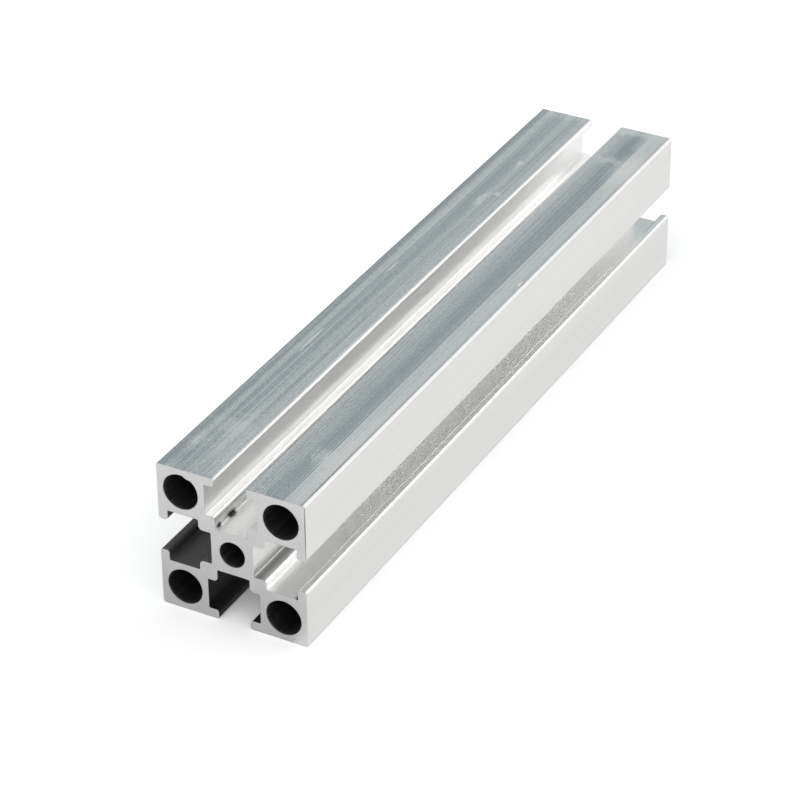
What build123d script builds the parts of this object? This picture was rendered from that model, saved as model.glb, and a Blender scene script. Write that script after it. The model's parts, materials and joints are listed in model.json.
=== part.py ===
from build123d import *

import os
from math import sqrt

# Square T-slot framing profile, extruded in aluminium as one piece and sawn to length.
#
# The bar lies on one of its four like sides. X runs across it, Y along it and Z up, and the
# origin is the middle of the side that it rests on. All sizes are in millimetres.

# The bar
SECTION_WIDTH = 40.0
BAR_LENGTH = 205.0
OUTER_CORNER_RADIUS = 0.8

# T-slot in the middle of each side, sized for the head and the shank of an M8 hexagon bolt
SLOT_OPENING = 8.8
LIP_OVERHANG = 2.7
LIP_THICKNESS = 2.5
LIP_EDGE_RADIUS = 0.5
SHOULDER_RADIUS = 1.2
ROOT_RADIUS = 0.3

# Square hub round the centre bore, which is the core hole of an M8 thread
CENTRE_BORE_DIAMETER = 6.8
HUB_WALL = 2.4

# Square corner block round each corner bore
CORNER_BLOCK_WALL = 1.75

# Diagonal knuckle between hub and corner block, measured across its two narrow places
HUB_NECK_THICKNESS = 2.0
BLOCK_NECK_THICKNESS = 2.9

# A fillet takes at most this share of the shorter side that it rounds
FILLET_SIDE_SHARE = 0.45

# Degrees from one side of the section to the next
QUARTER_TURN = 90

# Distances from the bar's axis that follow from the sizes above
OUTER = SECTION_WIDTH / 2
LIP_INNER = OUTER - LIP_THICKNESS
MOUTH = SLOT_OPENING / 2
CHANNEL = MOUTH + LIP_OVERHANG
HUB = CENTRE_BORE_DIAMETER / 2 + HUB_WALL
GROOVE = HUB - HUB_NECK_THICKNESS / sqrt(2)
SHOULDER = CHANNEL + BLOCK_NECK_THICKNESS / sqrt(2)
CORNER_BORE_OFFSET = (CHANNEL + OUTER) / 2
CORNER_BORE_DIAMETER = OUTER - CHANNEL - 2 * CORNER_BLOCK_WALL


def top_side_corners():
    """Corners of the outline along the top side, as (x, height, fillet radius), left to right.

    They run from the left lip down its slot to the hub, up to the right lip and on to the
    outer corner, where the next side begins.
    """
    left_half = [
        (-MOUTH, OUTER, LIP_EDGE_RADIUS),
        (-MOUTH, LIP_INNER, LIP_EDGE_RADIUS),
        (-CHANNEL, LIP_INNER, ROOT_RADIUS),
        (-CHANNEL, SHOULDER, ROOT_RADIUS),
        (-GROOVE, SHOULDER, SHOULDER_RADIUS),
        (-GROOVE, HUB, ROOT_RADIUS),
    ]
    right_half = [(-x, height, radius) for x, height, radius in reversed(left_half)]
    return left_half + right_half + [(OUTER, OUTER, OUTER_CORNER_RADIUS)]


def section_outline():
    """Closed outline of the section, the same on all four sides, with every corner rounded."""
    points = []
    radii = []
    for side in range(4):
        for x, height, radius in top_side_corners():
            points.append(Vector(x, height).rotate(Axis.Z, -side * QUARTER_TURN))
            radii.append(radius)
    limited = []
    for i, radius in enumerate(radii):
        before = (points[i] - points[i - 1]).length
        after = (points[(i + 1) % len(points)] - points[i]).length
        limited.append(min(radius, FILLET_SIDE_SHARE * min(before, after)))
    return FilletPolyline(*points, radius=limited, close=True)


def profile_section():
    """Section of the bar: the slotted outline with the centre bore and the four corner bores."""
    section = make_face(section_outline())
    section -= Circle(CENTRE_BORE_DIAMETER / 2)
    corner_bore = Circle(CORNER_BORE_DIAMETER / 2)
    for x in (-CORNER_BORE_OFFSET, CORNER_BORE_OFFSET):
        for height in (-CORNER_BORE_OFFSET, CORNER_BORE_OFFSET):
            section -= Pos(x, height) * corner_bore
    return section


def profile_bar():
    """The section drawn out along Y, half the length to each side, lying on its bottom side."""
    end_plane = Plane(origin=(0, 0, OUTER), x_dir=(1, 0, 0), z_dir=(0, -1, 0))
    return extrude(end_plane * profile_section(), amount=BAR_LENGTH / 2, both=True)


os.makedirs("parts", exist_ok=True)
export_step(profile_bar(), "parts/profile_bar.step")
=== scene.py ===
import json
from math import cos, pi, radians, sin, sqrt

import bpy
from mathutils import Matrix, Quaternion, Vector, noise
from mathutils.geometry import tessellate_polygon


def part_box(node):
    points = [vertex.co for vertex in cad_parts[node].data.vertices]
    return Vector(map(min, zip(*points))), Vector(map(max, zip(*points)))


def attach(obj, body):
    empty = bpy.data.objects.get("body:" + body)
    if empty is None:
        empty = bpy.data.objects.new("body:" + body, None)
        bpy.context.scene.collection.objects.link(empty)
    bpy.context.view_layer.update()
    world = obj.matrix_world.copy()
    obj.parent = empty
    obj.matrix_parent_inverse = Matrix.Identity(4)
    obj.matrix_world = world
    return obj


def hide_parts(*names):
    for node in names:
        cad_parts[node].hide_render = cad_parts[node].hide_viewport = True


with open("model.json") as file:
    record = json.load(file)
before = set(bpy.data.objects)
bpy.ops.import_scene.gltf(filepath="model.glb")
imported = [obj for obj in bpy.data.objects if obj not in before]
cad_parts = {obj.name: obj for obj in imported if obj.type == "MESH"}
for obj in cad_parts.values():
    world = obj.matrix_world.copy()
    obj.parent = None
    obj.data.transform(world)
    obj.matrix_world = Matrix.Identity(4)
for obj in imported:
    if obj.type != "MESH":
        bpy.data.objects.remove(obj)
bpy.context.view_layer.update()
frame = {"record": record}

# A short length of T-slot aluminium profile, as extruded, with sawn ends, on a white table in
# a light tent. All sizes are in metres.

MM_PER_METRE = 1000

# Section, with the same corners as the solid, but with the lips' outer edges, at the mouth, and their inner
# edges a little rounder
SLOT_OPENING = 0.0088
LIP_OVERHANG = 0.0027
LIP_THICKNESS = 0.0025
HUB_WALL = 0.0024
HUB_NECK_THICKNESS = 0.0020
BLOCK_NECK_THICKNESS = 0.0029
OUTER_CORNER_RADIUS = 0.0008
MOUTH_EDGE_RADIUS = 0.0007
LIP_INNER_EDGE_RADIUS = 0.0008
SHOULDER_RADIUS = 0.0012
ROOT_RADIUS = 0.0003

# Half widths of a slot's mouth and channel, and the height of its shoulders above the axis
MOUTH = SLOT_OPENING / 2
CHANNEL = MOUTH + LIP_OVERHANG
SHOULDER = CHANNEL + BLOCK_NECK_THICKNESS / sqrt(2)

# Steps of a quarter-round edge and of a whole bore, and of the bar's length
ARC_STEPS = 8
BORE_STEPS = 96
LENGTH_STEPS = 20

# Edges that the saw left, rounded off a little and unevenly
SAWN_EDGE = 0.00012
SAWN_EDGE_WAVE = 0.003
SAWN_EDGE_WAVE_SHARE = 0.6
SAWN_EDGE_RINGS = 2

# Burr that the saw left at the upper left bore's front rim
BURR_PLACE = (-0.01179, -0.1025, 0.03791)
BURR_REACH = 0.0013
BURR_DEPTH = 0.0004

# Side of the square that all faces are laid out on, and the room between them there
LAYOUT_SIDE = 0.420
LAYOUT_GAP = 0.002
LAYOUT_MAP = "OFBake"

# Materials, in the order of their slots
SKIN, BORE, SAWN = range(3)

# Extruded skin: tones of the metal, dark where the die left it smooth and pale where it is dull
SKIN_DARK = (0.51, 0.55, 0.57)
SKIN_PALE = (0.915, 0.91, 0.90)
SKIN_ROUGHNESS = (0.28, 0.38)
SKIN_ANISOTROPY = 0.6
SIDE_TONE_SHARE = 0.90
# Die lines and grain, as width across the bar, length along it and share of the tone
FINE_LINES = (0.00045, 0.100, 0.28)
BROAD_LINES = (0.0014, 0.150, 0.17)
GRAIN = (0.00030, 0.00080, 0.36)
# Octaves of noise in lines and grain, and in the fine lines, which are smooth
LINES_DETAIL = 2.0
FINE_LINES_DETAIL = 0.0
# Blender's noise seldom leaves this part of its range, and its colours are about grey
NOISE_RANGE = (0.25, 0.75)
NOISE_GREY = (0.5, 0.5, 0.5)
# Blender's wave texture turns by this many radians over a length of 1
WAVE_RADIANS = 20
# Close, even die lines in patches on the right half of the top side, which fade out along the bar and end
# before its right edge
RIBS_PITCH = 0.00062
RIBS_WAVER = 2.5
RIBS_STRETCH_SHARE = 0.05
RIBS_SHARE = 0.75
RIBS_PATCHES = (0.0016, 0.030)
RIBS_PATCH_RANGE = (-0.8, 0.6)
RIBS_FADE = (-0.060, 0.010)
RIBS_END = (0.0142, 0.0146)
# More grain on the right half of the top side, listed as the grain is, its share at the far end and its
# share past the end of the close lines
RIGHT_GRAIN = (0.00036, 0.00060, 0.50)
FAR_GRAIN_SHARE = 0.10
PAST_RIBS_GRAIN_SHARE = 0.10
# Strength of the die lines: off the top side, and on its left and right halves, from the front to the far end
SIDE_LINES_SHARE = 0.13
LEFT_LINES_SHARES = (1.2, 0.7)
RIGHT_LINES_SHARES = (1.0, 0.6)
# Where the left half gives way to the right one
LEFT_TO_RIGHT = (-0.001, 0.001)
# Depth of the fine lines, in metres as all heights of the skin are, so that its bump takes them as they are
LINE_DEPTH = 0.000004
SKIN_BUMP_DISTANCE = 1.0

# Tones of the top side as (x, share), from its left edge to its right
TOP_TONE_SHARES = (
    (-0.0200, 0.10),
    (-0.0186, 0.16),
    (-0.0176, 0.22),
    (-0.0172, 0.70),
    (-0.0160, 0.66),
    (-0.0154, 0.44),
    (-0.0132, 0.34),
    (-0.0127, 0.24),
    (-0.0121, 0.36),
    (-0.0108, 0.58),
    (-0.0088, 0.50),
    (-0.0084, 0.30),
    (-0.0078, 0.54),
    (-0.0044, 0.66),
    (0.0044, 0.86),
    (0.0056, 0.70),
    (0.0070, 0.60),
    (0.0094, 0.34),
    (0.0102, 0.12),
    (0.0128, 0.12),
    (0.0140, 0.08),
    (0.0144, 0.04),
    (0.0146, 1.00),
    (0.0149, 1.00),
    (0.0152, 0.88),
    (0.0175, 0.94),
    (0.0190, 0.78),
    (0.0200, 0.72),
)
# Heights between which the tone of the other sides gives way to the top side's
TOP_FADE = (0.0394, 0.0399)
# How far the tones of the top side stray across it, and over what length
TOP_WAVER = 0.00012
TOP_WAVER_LENGTH = 0.020

# Marks on the top side as (tone share, x, y, reach across, reach along)
TOP_MARKS = (
    (0.30, -0.0100, -0.0820, 0.0045, 0.0170),
    (0.30, -0.0125, -0.0803, 0.0080, 0.0050),
    (0.30, -0.0165, -0.0890, 0.0045, 0.0035),
    (0.20, -0.0070, -0.0930, 0.0030, 0.0100),
    (-0.30, -0.0165, -0.0975, 0.0030, 0.0060),
    (0.75, -0.0110, 0.0475, 0.0014, 0.0070),
    (1.10, -0.0087, 0.0517, 0.0009, 0.0014),
    (0.95, -0.0113, 0.0700, 0.0014, 0.0030),
    (0.35, -0.0120, 0.1010, 0.0120, 0.0035),
    (0.90, 0.0134, -0.0822, 0.0042, 0.0056),
    (0.30, 0.0168, 0.0770, 0.0040, 0.0160),
    (0.60, 0.0100, 0.0827, 0.0060, 0.0032),
    (-0.28, 0.0118, 0.0905, 0.0034, 0.0080),
    (0.40, 0.0142, 0.0960, 0.0030, 0.0120),
    (0.70, 0.0110, 0.1015, 0.0120, 0.0050),
)

# Scratches and rubbed places of the top side, where the metal is bare and rough, listed as the marks are. The
# wide place on the right half near the front is also painted light: it lifts the tone there as well as the
# roughness
SCRATCHES_AND_PAINTED_LIGHT = (
    (2.4, -0.0152, -0.0376, 0.00034, 0.0078),
    (1.3, -0.0147, 0.0033, 0.00032, 0.0052),
    # Rough, rubbed metal, and painted light that lifts the tone of the right half near the front
    (0.2, 0.0172, -0.0800, 0.0042, 0.0400),
    (0.3, 0.0160, 0.0800, 0.0060, 0.0120),
    (1.0, 0.0187, 0.0110, 0.0006, 0.0018),
    (0.6, 0.0140, 0.0334, 0.0004, 0.0006),
)
# Nicks of the top side, as (depth, x, y, reach across, reach along)
NICKS = (
    (-0.00035, 0.0188, 0.0110, 0.0006, 0.0018),
)
# How far down the sides the marks, scratches and nicks of the top side reach
MARK_REACH_DOWN = 0.0012
# How far the edges of marks and of smudges stray along X, Y and Z, and over what length
MARK_STRAY = (0.0030, 0.0060, 0.0)
MARK_STRAY_LENGTH = 0.0035
SMUDGE_STRAY = (0.0006, 0.0024, 0.0016)
SMUDGE_STRAY_LENGTH = 0.0012
# Roughness of bare metal, and that of the rubbed outer edges, as a share of the way to it
ROUGH_METAL = 0.9
EDGE_WEAR_SHARE = 0.10
EDGE_WEAR_MAP = "edge_wear"

# Smudges in the fronts of the top slot and the right slot, as (share, place, reach): dirt in the top slot, and
# in the right slot a dark spot of painted shade in the corner at the root of its lower lip
DIRT_AND_SHADE_SMUDGES = (
    (1.6, (-0.0043, -0.0950, 0.0260), (0.0016, 0.0024, 0.0016)),
    (1.4, (-0.0044, -0.1007, 0.0262), (0.0008, 0.0014, 0.0010)),
    (0.6, (0.0040, -0.0995, 0.0258), (0.0008, 0.0018, 0.0008)),
    # Painted shade in the corner at the root of the right slot's lower lip
    (1.3, (0.0172, -0.1018, 0.0131), (0.0009, 0.0016, 0.0009)),
)
# Thin dark films, listed as the smudges are, but with straight edges. All but the last are painted shade,
# which darkens places that this light leaves too bright: the right slot's lower groove wall, the top slot's
# left groove wall, the right slot's hub, the inside of the left slot's lip, the right side's lower half, and
# the highlights along the top side's right edge and its left edge, as dark lines. The last is a dark line down
# the right side's sawn edge at the front
SHADE_FILMS = (
    (0.67, (0.0064, 0.0, 0.0156), (0.0016, 0.30, 0.0022)),
    (0.67, (0.0076, 0.0, 0.0156), (0.0016, 0.30, 0.0022)),
    (0.05, (-0.0044, -0.0960, 0.0268), (0.0008, 0.0600, 0.0026)),
    (0.14, (0.0058, 0.0, 0.0200), (0.0012, 0.30, 0.0060)),
    (0.90, (-0.0175, 0.0, 0.0143), (0.0014, 0.30, 0.0024)),
    # Painted shade along the top side's right edge: a dark line that dims its highlight
    (0.35, (0.0192, -0.0600, 0.0400), (0.00028, 0.075, 0.0006)),
    (0.20, (0.0192, 0.0600, 0.0400), (0.00028, 0.075, 0.0006)),
    (0.50, (0.0192, -0.0920, 0.0400), (0.00028, 0.030, 0.0006)),
    # Painted shade along the top side's left edge, which dims its highlight
    (0.35, (-0.0197, 0.0, 0.0398), (0.0006, 0.30, 0.0006)),
    (0.06, (0.0200, 0.0, 0.0070), (0.0030, 0.50, 0.0130)),
    # A dark line down the right side's sawn edge at the front
    (1.00, (0.0200, -0.1025, 0.0330), (0.0004, 0.0004, 0.0160)),
)
# Dark colour that the dirt and the painted shade take the metal towards
DIRT_AND_SHADE_COLOUR = (0.05, 0.05, 0.05)

# Bore walls: dull, with lines along them, and painted dark as the shade inside them
BORE_SHADE_DARK = (0.26, 0.26, 0.265)
BORE_SHADE_PALE = (0.37, 0.37, 0.365)
BORE_ROUGHNESS = (0.34, 0.52)
BORE_LINES = (0.0006, 0.080)

# Sawn end: a matt face with the faint arcs of the saw blade
SAWN_DARK = (0.72, 0.72, 0.72)
SAWN_PALE = (0.84, 0.84, 0.835)
SAWN_ROUGHNESS = (0.62, 0.52)
SAW_CENTRE = (0.110, 0.0, 0.150)
SAW_PITCH = 0.0006
SAW_DEPTH = 0.000003
SAW_SHARE = 0.09
SAW_DETAIL = 3.0
# Tone of the sawn end, as a share of the way from dark to pale, and its mottle and grain as (size, share)
SAWN_TONE_SHARE = 0.5
SAWN_MOTTLE = (0.004, 0.13)
SAWN_GRAIN = (0.00025, 0.16)

# Camera, at the photograph's viewing angle
CAMERA_PLACE = (0.32115, -0.60995, 0.43989)
CAMERA_AIM = (-0.01068, 0.0, 0.00264)
CAMERA_ROLL = radians(-0.49)
CAMERA_LENS_MM = 140.44

# White table, which glows a little, and the shade on it ahead of the bar's front, for reflections only
FLOOR_SIZE = 12.0
FLOOR_COLOUR = (0.95, 0.95, 0.95)
FLOOR_GLOW = 0.17
SHADE_GLOW = 0.5
SHADE_AHEAD = 0.025
SHADE_LEFT = 0.025
SHADE_RIGHT = -0.004

# Sheets for reflections only, which give the slots part of their tones in the photograph: dark flags that keep
# light out of the left slot and the bottom slot, and bright baffles across the far ends of the other two
FLAG_COLOUR = (0.02, 0.02, 0.02)
FLAG_GAP = 0.0002
LEFT_FLAG_GLOW = 0.062
UNDER_FLAG_GLOW = 0.006
TOP_BAFFLE_GLOW = 1.0
RIGHT_BAFFLE_GLOW = 0.80

# How far in from the sides the clear sheets lie in the mouths of the top slot and the right slot
MOUTH_SHEET_DEPTH = 0.00025

# Light tent, and the zones in it as (colour, direction, angle where it is full, angle where it ends)
TENT_COLOUR = (0.53, 0.53, 0.53)
TENT_ZONES = (
    ((0.82, 0.82, 0.815), (0, 0, -1), 82, 98),
    ((0.95, 0.95, 0.95), (-0.40, -0.74, -0.53), 15, 50),
    ((0.46, 0.506, 0.516), (-0.45, 0.74, 0.50), 25, 55),
    ((0.22, 0.24, 0.25), (-0.78, 0.62, -0.06), 10, 30),
    ((1.30, 1.30, 1.29), (0.29, 0.74, 0.60), 10, 28),
    ((1.20, 1.20, 1.19), (0.60, 0.70, 0.40), 22, 46),
    ((0.62, 0.62, 0.62), (0.15, -0.1, 1), 18, 46),
)
# Panels over the zones, for the light that goes into the top slot and the right slot: a dim one, so that
# the slots stand out from above, and a bright one
SLOT_ZONES = (
    ((0.72, 0.72, 0.72), (0.0, 0.60, 0.80), 15, 32),
    ((2.75, 2.75, 2.72), (0.60, 0.70, 0.40), 12, 41),
)

# Soft, distant lamp above, for the table
LAMP_TOWARDS = (0.15, -0.80, 1.0)
LAMP_SPREAD = radians(90)
LAMP_STRENGTH = 1.5


def section_corners():
    """Corners of the outline as (x, height, radius), clockwise seen from the front, about the axis."""
    low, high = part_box("profile_bar")
    outer = (high.x - low.x) / 2
    hub = bore_radius("centre_bore") + HUB_WALL
    groove = hub - HUB_NECK_THICKNESS / sqrt(2)
    left_half = [
        (-MOUTH, outer, MOUTH_EDGE_RADIUS),
        (-MOUTH, outer - LIP_THICKNESS, LIP_INNER_EDGE_RADIUS),
        (-CHANNEL, outer - LIP_THICKNESS, ROOT_RADIUS),
        (-CHANNEL, SHOULDER, ROOT_RADIUS),
        (-groove, SHOULDER, SHOULDER_RADIUS),
        (-groove, hub, ROOT_RADIUS),
    ]
    right_half = [(-x, height, radius) for x, height, radius in reversed(left_half)]
    side = left_half + right_half + [(outer, outer, OUTER_CORNER_RADIUS)]
    corners = []
    for _ in range(4):
        corners += side
        side = [(height, -x, radius) for x, height, radius in side]
    return corners


def bore_radius(name):
    """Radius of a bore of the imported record."""
    mount = next(m for m in frame["record"]["mounts"] if m["name"] == name)
    return mount["dims"]["r_mm"] / MM_PER_METRE


def rounded_outline(corners, axis_height):
    """Closed outline through square corners, with a quarter round in place of each."""
    points = []
    for i, (x, height, radius) in enumerate(corners):
        corner = Vector((x, height + axis_height))
        before = Vector(corners[i - 1][:2]) - Vector((x, height))
        after = Vector(corners[(i + 1) % len(corners)][:2]) - Vector((x, height))
        before.normalize()
        after.normalize()
        centre = corner + radius * (before + after)
        for step in range(ARC_STEPS + 1):
            turn = pi / 2 * step / ARC_STEPS
            points.append(centre - radius * (cos(turn) * after + sin(turn) * before))
    return points


def edge_wear(corners):
    """How worn each point of the rounded outline is: the middle of each outer edge, and nothing else."""
    outer = max(x for x, _, _ in corners)
    wear = []
    for x, height, _ in corners:
        outside = max(abs(x), abs(height)) == outer
        for step in range(ARC_STEPS + 1):
            wear.append(outside * sin(pi * step / ARC_STEPS))
    return wear


def bore_outlines():
    """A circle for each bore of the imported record, anticlockwise seen from the front."""
    outlines = []
    for mount in frame["record"]["mounts"]:
        if mount["kind"] != "bore":
            continue
        x, _, z = mount["pos_m"]
        radius = bore_radius(mount["name"])
        turns = [2 * pi * step / BORE_STEPS for step in range(BORE_STEPS)]
        outlines.append([Vector((x + radius * cos(t), z + radius * sin(t))) for t in turns])
    return outlines


def outward_normals(outline):
    """Normals out of the metal, to the left of the way that the outline runs."""
    normals = []
    for i, point in enumerate(outline):
        before = point - outline[i - 1]
        after = outline[(i + 1) % len(outline)] - point
        way = before.normalized() + after.normalized()
        normals.append(Vector((-way.y, way.x)).normalized())
    return normals


def stations(y_low, y_high):
    """Places along the bar as (y, share of the sawn edge taken off there, share of it from the end)."""
    front = []
    for ring in range(SAWN_EDGE_RINGS + 1):
        turn = pi / 2 * ring / SAWN_EDGE_RINGS
        front.append((y_low, 1 - sin(turn), 1 - cos(turn)))
    back = [(y_high, inset, -depth) for _, inset, depth in reversed(front)]
    middle = [(y_low + BURR_REACH, 0, 0)]
    for step in range(1, LENGTH_STEPS):
        middle.append((y_low + (y_high - y_low) * step / LENGTH_STEPS, 0, 0))
    return front + middle + back


class BarMesh:
    """Vertices, faces, materials and layout places of the bar, gathered wall by wall and end by end."""

    def __init__(self):
        self.vertices = []
        self.wear = []
        self.faces = []
        self.materials = []
        self.places = []
        self.layout_x = LAYOUT_GAP

    def add_wall(self, outline, wear, rows, material):
        """An outline drawn out along the bar, and its first and last rings of vertices."""
        start = len(self.vertices)
        count = len(outline)
        for y, inset, depth in rows:
            self.wear += wear
            for point, normal in zip(outline, outward_normals(outline)):
                wave = noise.noise(Vector((point.x, y, point.y)) / SAWN_EDGE_WAVE)
                edge = SAWN_EDGE * (1 + SAWN_EDGE_WAVE_SHARE * wave)
                from_burr = (Vector((point.x, y, point.y)) - Vector(BURR_PLACE)).length
                raised = BURR_DEPTH * max(0, 1 - from_burr / BURR_REACH)
                inner = point - normal * (edge * inset - raised)
                self.vertices.append((inner.x, y + edge * depth, inner.y))
        across = [0]
        for i, point in enumerate(outline):
            across.append(across[-1] + (outline[(i + 1) % count] - point).length)
        for row in range(len(rows) - 1):
            for i in range(count):
                near = start + row * count
                far = near + count
                after = (i + 1) % count
                self.faces.append((near + i, near + after, far + after, far + i))
                self.materials.append(material)
                left = self.layout_x + across[i]
                right = self.layout_x + across[i + 1]
                bottom = self.vertices[near + i][1] - rows[0][0] + LAYOUT_GAP
                top = self.vertices[far + i][1] - rows[0][0] + LAYOUT_GAP
                self.places.append([(left, bottom), (right, bottom), (right, top), (left, top)])
        self.layout_x += across[-1] + LAYOUT_GAP
        last = start + (len(rows) - 1) * count
        return range(start, start + count), range(last, last + count)

    def add_end(self, rings, outward, corner):
        """A sawn end between rings of vertices, facing along or against Y, laid out from a corner."""
        members = [i for ring in rings for i in ring]
        flat = [[Vector((self.vertices[i][0], self.vertices[i][2], 0)) for i in ring] for ring in rings]
        low = Vector([min(point[k] for point in flat[0]) for k in range(2)])
        for triangle in tessellate_polygon(flat):
            face = [members[i] for i in triangle]
            if outward < 0:
                face.reverse()
            self.faces.append(face)
            self.materials.append(SAWN)
            spots = [Vector((self.vertices[i][0], self.vertices[i][2])) - low for i in face]
            self.places.append([(corner[0] + spot.x, corner[1] + spot.y) for spot in spots])

    def finished(self, name):
        """The mesh itself, with its wear, its materials and its layout."""
        mesh = bpy.data.meshes.new(name)
        mesh.from_pydata(self.vertices, [], self.faces)
        mesh.attributes.new(EDGE_WEAR_MAP, "FLOAT", "POINT").data.foreach_set("value", self.wear)
        layout = mesh.uv_layers.new(name=LAYOUT_MAP)
        for polygon, material, places in zip(mesh.polygons, self.materials, self.places):
            polygon.material_index = material
            polygon.use_smooth = material != SAWN
            for loop, place in zip(polygon.loop_indices, places):
                layout.uv[loop].vector = Vector(place) / LAYOUT_SIDE
        return mesh


def bar_mesh():
    """The bar: the section drawn out along Y, with the sawn edges of both ends broken."""
    low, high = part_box("profile_bar")
    rows = stations(low.y, high.y)
    bar = BarMesh()
    corners = section_corners()
    outline = rounded_outline(corners, (low.z + high.z) / 2)
    rings = [bar.add_wall(outline, edge_wear(corners), rows, SKIN)]
    for circle in bore_outlines():
        rings.append(bar.add_wall(circle, [0] * BORE_STEPS, rows, BORE))
    above_walls = high.y - low.y + 2 * LAYOUT_GAP
    beside_front = high.x - low.x + 2 * LAYOUT_GAP
    bar.add_end([first for first, _ in rings], -1, (LAYOUT_GAP, above_walls))
    bar.add_end([last for _, last in rings], 1, (beside_front, above_walls))
    return bar.finished("profile_bar_finish")


def new_material(name):
    """A new material, with its node tree and its shader."""
    material = bpy.data.materials.new(name)
    material.use_nodes = True
    return material, material.node_tree, material.node_tree.nodes["Principled BSDF"]


def add_node(tree, kind, inputs=None, **settings):
    """A new node with its settings, and its inputs linked to sockets or set to plain values."""
    node = tree.nodes.new(kind)
    for name, value in settings.items():
        setattr(node, name, value)
    for name, value in (inputs or {}).items():
        if isinstance(value, bpy.types.NodeSocket):
            tree.links.new(value, node.inputs[name])
        else:
            node.inputs[name].default_value = value
    return node


def weighted_sum(tree, total, *terms):
    """A value plus other values, each times its weight."""
    for value, weight in terms:
        inputs = {0: value, 1: weight, 2: total}
        total = add_node(tree, "ShaderNodeMath", inputs, operation="MULTIPLY_ADD").outputs[0]
    return total


def remapped(tree, value, low, high, to_low=0.0, to_high=1.0):
    """A value taken from one range to another, and held at its ends."""
    inputs = {0: value, 1: low, 2: high, 3: to_low, 4: to_high}
    return add_node(tree, "ShaderNodeMapRange", inputs).outputs[0]


def colour_between(tree, share, first, second):
    """A colour that goes from the first to the second by a share."""
    inputs = {0: share, 6: first, 7: second}
    return add_node(tree, "ShaderNodeMix", inputs, data_type="RGBA").outputs[2]


def number_between(tree, share, first, second):
    """A number that goes from the first to the second by a share."""
    return add_node(tree, "ShaderNodeMix", {0: share, 2: first, 3: second}).outputs[0]


def place_on_bar(tree):
    """Place in the bar's own frame, in metres."""
    return add_node(tree, "ShaderNodeTexCoord").outputs["Object"]


def lines(tree, across, along, detail=LINES_DETAIL):
    """Noise about 0, from -1 to 1, with grains of this width across the bar and length along it."""
    scale = (1 / across, 1 / along, 1 / across)
    place = add_node(tree, "ShaderNodeMapping", {"Vector": place_on_bar(tree), "Scale": scale}).outputs[0]
    found = add_node(tree, "ShaderNodeTexNoise", {"Vector": place, "Scale": 1.0, "Detail": detail})
    return remapped(tree, found.outputs["Fac"], *NOISE_RANGE, -1, 1)


def ribs(tree):
    """Even die lines about 0, from -1 to 1, that waver a little along the bar."""
    stretch = (1, RIBS_STRETCH_SHARE, 1)
    place = add_node(tree, "ShaderNodeMapping", {"Vector": place_on_bar(tree), "Scale": stretch}).outputs[0]
    scale = 2 * pi / WAVE_RADIANS / RIBS_PITCH
    inputs = {"Vector": place, "Scale": scale, "Distortion": RIBS_WAVER}
    wave = add_node(tree, "ShaderNodeTexWave", inputs, bands_direction="X")
    return remapped(tree, wave.outputs["Fac"], 0, 1, -1, 1)


def ragged_place(tree, stray, stray_length):
    """Place on the bar, moved about so that what is laid by it has a ragged edge."""
    place = place_on_bar(tree)
    found = add_node(tree, "ShaderNodeTexNoise", {"Vector": place, "Scale": 1 / stray_length})
    inputs = {0: found.outputs["Color"], 1: NOISE_GREY}
    shift = add_node(tree, "ShaderNodeVectorMath", inputs, operation="SUBTRACT").outputs[0]
    inputs = {0: shift, 1: stray, 2: place}
    return add_node(tree, "ShaderNodeVectorMath", inputs, operation="MULTIPLY_ADD").outputs[0]


def spot(tree, position, place, reach):
    """1 where a position on the bar is at a place, falling to 0 at its reach along X, Y and Z."""
    inputs = {0: position, 1: place}
    away = add_node(tree, "ShaderNodeVectorMath", inputs, operation="SUBTRACT").outputs[0]
    inputs = {0: away, 1: reach}
    shares = add_node(tree, "ShaderNodeVectorMath", inputs, operation="DIVIDE").outputs[0]
    distance = add_node(tree, "ShaderNodeVectorMath", {0: shares}, operation="LENGTH").outputs["Value"]
    share = remapped(tree, distance, 1, 0)
    share.node.interpolation_type = "SMOOTHSTEP"
    return share


def top_spots(tree, position, marks):
    """Marks of the top side, as pairs of where each is and its share or depth."""
    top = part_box("profile_bar")[1].z
    spots = []
    for share, x, y, across, along in marks:
        spots.append((spot(tree, position, (x, y, top), (across, along, MARK_REACH_DOWN)), share))
    return spots


def top_bands(tree, x):
    """Bands of the top side, as a share of the way from dark to pale, by the place across it."""
    ramp = add_node(tree, "ShaderNodeValToRGB")
    stops = ramp.color_ramp.elements
    low = TOP_TONE_SHARES[0][0]
    high = TOP_TONE_SHARES[-1][0]
    while len(stops) < len(TOP_TONE_SHARES):
        stops.new(1)
    for stop, (place, share) in zip(stops, TOP_TONE_SHARES):
        stop.position = (place - low) / (high - low)
        stop.color = (share, share, share, 1)
    tree.links.new(remapped(tree, x, low, high), ramp.inputs["Fac"])
    return ramp.outputs["Color"]


def die_lines(tree):
    """The fine lines by themselves, and all the die lines and the grain together, about 0."""
    fine = lines(tree, *FINE_LINES[:2], detail=FINE_LINES_DETAIL)
    kinds = [(fine, FINE_LINES[2])]
    for across, along, share in (BROAD_LINES, GRAIN):
        kinds.append((lines(tree, across, along), share))
    return fine, weighted_sum(tree, 0.0, *kinds)


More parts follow.
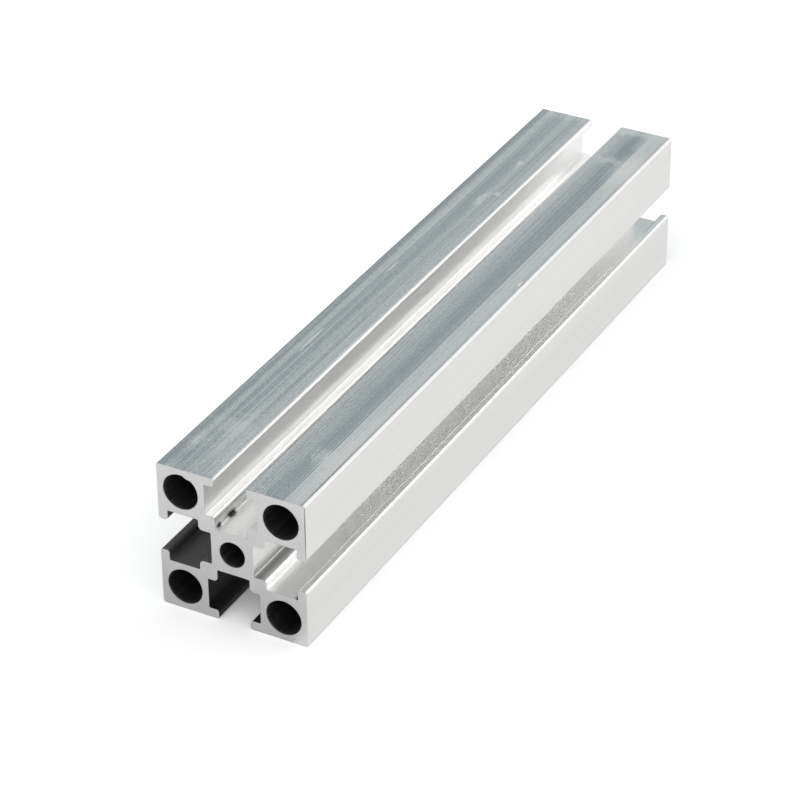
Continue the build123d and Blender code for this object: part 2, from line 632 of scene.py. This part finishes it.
def top_tone(tree, x, y, streaks):
    """Tone of the top side: bands with die lines, close lines and grain on its right half, and marks."""
    low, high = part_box("profile_bar")
    waver = lines(tree, TOP_WAVER_LENGTH, TOP_WAVER_LENGTH)
    bands = top_bands(tree, weighted_sum(tree, x, (waver, TOP_WAVER)))
    on_right = remapped(tree, x, *LEFT_TO_RIGHT)
    past_ribs = remapped(tree, x, *RIBS_END)

    left_strength = remapped(tree, y, low.y, high.y, *LEFT_LINES_SHARES)
    right_strength = remapped(tree, y, low.y, high.y, *RIGHT_LINES_SHARES)
    strength = number_between(tree, on_right, left_strength, right_strength)

    patches = remapped(tree, lines(tree, *RIBS_PATCHES), *RIBS_PATCH_RANGE)
    ribbed = number_between(tree, patches, 0.0, remapped(tree, y, *RIBS_FADE, RIBS_SHARE, 0))
    ribbed = number_between(tree, on_right, 0.0, ribbed)
    ribbed = number_between(tree, past_ribs, ribbed, 0.0)

    grain = lines(tree, *RIGHT_GRAIN[:2])
    grain_strength = remapped(tree, y, low.y, high.y, RIGHT_GRAIN[2], FAR_GRAIN_SHARE)
    grain_strength = number_between(tree, on_right, 0.0, grain_strength)
    grain_strength = number_between(tree, past_ribs, grain_strength, PAST_RIBS_GRAIN_SHARE)

    marks = top_spots(tree, ragged_place(tree, MARK_STRAY, MARK_STRAY_LENGTH), TOP_MARKS)
    return weighted_sum(
        tree,
        bands,
        (streaks, strength),
        (ribs(tree), ribbed),
        (grain, grain_strength),
        *marks,
    )


def dirt_and_shade_share(tree, place):
    """How far each place is darkened: by the smudges, which are dirt and painted shade, and by the films, most
    of which are painted shade.
    """
    ragged = ragged_place(tree, SMUDGE_STRAY, SMUDGE_STRAY_LENGTH)
    dirt_and_shade = [(spot(tree, ragged, centre, reach), share) for share, centre, reach in DIRT_AND_SHADE_SMUDGES]
    dirt_and_shade += [(spot(tree, place, centre, reach), share) for share, centre, reach in SHADE_FILMS]
    return weighted_sum(tree, 0.0, *dirt_and_shade)


def skin_material():
    """Extruded skin: die lines along the bar, in dark and pale bands on the side that lies upwards."""
    material, tree, shader = new_material("extruded_aluminium")
    place = place_on_bar(tree)
    x, y, z = add_node(tree, "ShaderNodeSeparateXYZ", {0: place}).outputs
    fine, streaks = die_lines(tree)
    bare_and_lit = weighted_sum(tree, 0.0, *top_spots(tree, place, SCRATCHES_AND_PAINTED_LIGHT))
    side = weighted_sum(tree, SIDE_TONE_SHARE, (streaks, SIDE_LINES_SHARE))
    tone = number_between(tree, remapped(tree, z, *TOP_FADE), side, top_tone(tree, x, y, streaks))
    # Bare metal, and painted light on one wide place, make the tone paler
    tone = weighted_sum(tree, tone, (bare_and_lit, 1.0))

    metal = colour_between(tree, tone, (*SKIN_DARK, 1), (*SKIN_PALE, 1))
    # The smudges and the films darken the metal, as dirt and as painted shade
    colour = colour_between(tree, dirt_and_shade_share(tree, place), metal, (*DIRT_AND_SHADE_COLOUR, 1))
    tree.links.new(colour, shader.inputs["Base Color"])

    worn = add_node(tree, "ShaderNodeAttribute", attribute_name=EDGE_WEAR_MAP).outputs["Fac"]
    rubbed = weighted_sum(tree, bare_and_lit, (worn, EDGE_WEAR_SHARE))
    roughness = remapped(tree, tone, 0, 1, *SKIN_ROUGHNESS)
    tree.links.new(number_between(tree, rubbed, roughness, ROUGH_METAL), shader.inputs["Roughness"])

    height = weighted_sum(tree, 0.0, (fine, LINE_DEPTH), *top_spots(tree, place, NICKS))
    bump = add_node(tree, "ShaderNodeBump", {"Height": height, "Distance": SKIN_BUMP_DISTANCE})
    tree.links.new(bump.outputs["Normal"], shader.inputs["Normal"])
    tangent = add_node(tree, "ShaderNodeTangent", direction_type="UV_MAP", uv_map=LAYOUT_MAP)
    tree.links.new(tangent.outputs["Tangent"], shader.inputs["Tangent"])
    shader.inputs["Anisotropic"].default_value = SKIN_ANISOTROPY
    shader.inputs["Metallic"].default_value = 1
    return material


def bore_material():
    """Walls of the bores, with lines along them, and painted dark for the shade inside them."""
    material, tree, shader = new_material("bore_aluminium_painted_shade")
    tone = remapped(tree, lines(tree, *BORE_LINES), -1, 1)
    colour = colour_between(tree, tone, (*BORE_SHADE_DARK, 1), (*BORE_SHADE_PALE, 1))
    tree.links.new(colour, shader.inputs["Base Color"])
    tree.links.new(remapped(tree, tone, 0, 1, *BORE_ROUGHNESS), shader.inputs["Roughness"])
    shader.inputs["Metallic"].default_value = 1
    return material


def saw_arcs(tree):
    """Noise about 0 in arcs round the saw blade's centre, which lies off the bar."""
    across_bar = (1, 0, 1)
    inputs = {0: place_on_bar(tree), 1: across_bar}
    flat = add_node(tree, "ShaderNodeVectorMath", inputs, operation="MULTIPLY").outputs[0]
    inputs = {0: flat, 1: SAW_CENTRE}
    radius = add_node(tree, "ShaderNodeVectorMath", inputs, operation="DISTANCE").outputs["Value"]
    inputs = {"W": radius, "Scale": 1 / SAW_PITCH, "Detail": SAW_DETAIL}
    found = add_node(tree, "ShaderNodeTexNoise", inputs, noise_dimensions="1D")
    return remapped(tree, found.outputs["Fac"], *NOISE_RANGE, -1, 1)


def sawn_material():
    """Sawn ends: a matt face with saw arcs, mottled a little."""
    material, tree, shader = new_material("sawn_aluminium")
    arcs = saw_arcs(tree)
    mottle_size, mottle_share = SAWN_MOTTLE
    grain_size, grain_share = SAWN_GRAIN
    tone = weighted_sum(
        tree,
        SAWN_TONE_SHARE,
        (arcs, SAW_SHARE),
        (lines(tree, mottle_size, mottle_size), mottle_share),
        (lines(tree, grain_size, grain_size), grain_share),
    )
    colour = colour_between(tree, tone, (*SAWN_DARK, 1), (*SAWN_PALE, 1))
    tree.links.new(colour, shader.inputs["Base Color"])
    tree.links.new(remapped(tree, tone, 0, 1, *SAWN_ROUGHNESS), shader.inputs["Roughness"])
    bump = add_node(tree, "ShaderNodeBump", {"Height": arcs, "Distance": SAW_DEPTH})
    tree.links.new(bump.outputs["Normal"], shader.inputs["Normal"])
    shader.inputs["Metallic"].default_value = 1
    return material


def link_object(name, contents):
    """A new object of the scene, with its mesh, light or camera."""
    thing = bpy.data.objects.new(name, contents)
    bpy.context.scene.collection.objects.link(thing)
    return thing


def make_bar():
    """The bar, in place of its CAD node."""
    mesh = bar_mesh()
    for make_material in (skin_material, bore_material, sawn_material):
        mesh.materials.append(make_material())
    bar = link_object("profile_bar_finish", mesh)
    weighted = bar.modifiers.new("even_normals", "WEIGHTED_NORMAL")
    weighted.keep_sharp = True
    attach(bar, "root")
    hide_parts("profile_bar")


def make_sheet(name, corners, colour, glow=0.0):
    """A flat, dull sheet of the stage."""
    mesh = bpy.data.meshes.new(name)
    mesh.from_pydata(corners, [], [range(len(corners))])
    material, _, shader = new_material(name)
    shader.inputs["Base Color"].default_value = (*colour, 1)
    shader.inputs["Roughness"].default_value = 1
    shader.inputs["Specular IOR Level"].default_value = 0
    shader.inputs["Emission Color"].default_value = (1, 1, 1, 1)
    shader.inputs["Emission Strength"].default_value = glow
    mesh.materials.append(material)
    sheet = link_object(name, mesh)
    return sheet


def show_in_reflections_only(sheet):
    sheet.visible_camera = False
    sheet.visible_diffuse = False
    sheet.visible_shadow = False


def level_corners(left, right, front, back, height):
    """Corners of a sheet that lies flat."""
    return [(left, front, height), (right, front, height), (right, back, height), (left, back, height)]


def side_corners(x, front, back, low, high):
    """Corners of an upright sheet along the bar."""
    return [(x, front, low), (x, back, low), (x, back, high), (x, front, high)]


def end_corners(y, left, right, low, high):
    """Corners of an upright sheet across the bar."""
    return [(left, y, low), (right, y, low), (right, y, high), (left, y, high)]


def make_floor():
    """The table, which the metal doesn't show."""
    half = FLOOR_SIZE / 2
    floor = make_sheet("floor", level_corners(-half, half, -half, half, 0), FLOOR_COLOUR, FLOOR_GLOW)
    floor.visible_glossy = False
    floor.visible_shadow = False


def make_flags():
    """Dark flags at the left slot and the bottom slot, baffles at two far ends, and the table's shade."""
    low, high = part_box("profile_bar")
    axis = (low.z + high.z) / 2
    side = low.x + FLAG_GAP
    front = low.y + FLAG_GAP
    back = high.y - FLAG_GAP
    under = low.z - FLAG_GAP
    ahead = low.y - SHADE_AHEAD
    left_flag = side_corners(side, low.y, high.y, axis - MOUTH, axis + MOUTH)
    under_flag = level_corners(low.x, high.x, low.y, high.y, under)
    front_flag = end_corners(front, -CHANNEL, CHANNEL, low.z, axis - MOUTH)
    top_baffle = end_corners(back, -CHANNEL, CHANNEL, axis + MOUTH, high.z)
    right_baffle = end_corners(back, MOUTH, SHOULDER, axis - CHANNEL, axis + CHANNEL)
    table_shade = level_corners(low.x - SHADE_LEFT, high.x + SHADE_RIGHT, ahead, low.y, under)
    flags = (
        ("left_flag", left_flag, LEFT_FLAG_GLOW),
        ("under_flag", under_flag, UNDER_FLAG_GLOW),
        ("front_flag", front_flag, UNDER_FLAG_GLOW),
        ("top_baffle", top_baffle, TOP_BAFFLE_GLOW),
        ("right_baffle", right_baffle, RIGHT_BAFFLE_GLOW),
        ("table_shade", table_shade, SHADE_GLOW),
    )
    for name, corners, glow in flags:
        show_in_reflections_only(make_sheet(name, corners, FLAG_COLOUR, glow))


def make_mouths():
    """Clear sheets in the mouths of the top slot and the right slot, to mark the light that passes them."""
    low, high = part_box("profile_bar")
    axis = (low.z + high.z) / 2
    top = level_corners(-MOUTH, MOUTH, low.y, high.y, high.z - MOUTH_SHEET_DEPTH)
    right = side_corners(high.x - MOUTH_SHEET_DEPTH, low.y, high.y, axis - MOUTH, axis + MOUTH)
    for name, corners in (("top_mouth", top), ("right_mouth", right)):
        sheet = make_sheet(name, corners, FLAG_COLOUR)
        shader = sheet.active_material.node_tree.nodes["Principled BSDF"]
        shader.inputs["Alpha"].default_value = 0
        show_in_reflections_only(sheet)


def zones_over(tree, light, zones):
    """Light by direction, with zones laid over it one after the other, each with a soft edge."""
    way = add_node(tree, "ShaderNodeTexCoord").outputs["Generated"]
    for colour, towards, full, end in zones:
        inputs = {0: way, 1: Vector(towards).normalized()}
        nearness = add_node(tree, "ShaderNodeVectorMath", inputs, operation="DOT_PRODUCT").outputs["Value"]
        share = remapped(tree, nearness, cos(radians(end)), cos(radians(full)))
        share.node.interpolation_type = "SMOOTHSTEP"
        light = colour_between(tree, share, light, (*colour, 1))
    return light


def make_world():
    """A light tent, with other panels for the light that passes a clear sheet on its way out of a slot."""
    world = bpy.data.worlds.new("light_tent")
    world.use_nodes = True
    tree = world.node_tree
    tent = zones_over(tree, (*TENT_COLOUR, 1), TENT_ZONES)
    mouths_passed = add_node(tree, "ShaderNodeLightPath").outputs["Transparent Depth"]
    in_slot = remapped(tree, mouths_passed, 0, 1)
    light = colour_between(tree, in_slot, tent, zones_over(tree, tent, SLOT_ZONES))
    tree.links.new(light, tree.nodes["Background"].inputs["Color"])
    # Light that is sampled straight from the world misses the clear sheets, so it comes by reflection alone
    world.cycles.sampling_method = "NONE"
    bpy.context.scene.world = world


def make_lamp():
    """A soft lamp for the table, which the metal doesn't show."""
    light = bpy.data.lights.new("lamp", "SUN")
    light.angle = LAMP_SPREAD
    light.energy = LAMP_STRENGTH
    lamp = link_object("lamp", light)
    lamp.rotation_mode = "QUATERNION"
    lamp.rotation_quaternion = Vector(LAMP_TOWARDS).to_track_quat("Z", "Y")
    lamp.visible_glossy = False


def make_camera():
    """The camera, which is a little turned about its own line of sight."""
    lens = bpy.data.cameras.new("camera")
    lens.lens = CAMERA_LENS_MM
    camera = link_object("camera", lens)
    way = Vector(CAMERA_AIM) - Vector(CAMERA_PLACE)
    camera.location = CAMERA_PLACE
    camera.rotation_mode = "QUATERNION"
    camera.rotation_quaternion = way.to_track_quat("-Z", "Y") @ Quaternion((0, 0, 1), CAMERA_ROLL)
    bpy.context.scene.camera = camera


make_bar()
make_floor()
make_flags()
make_mouths()
make_world()
make_lamp()
make_camera()
bpy.context.scene.view_settings.view_transform = "Standard"
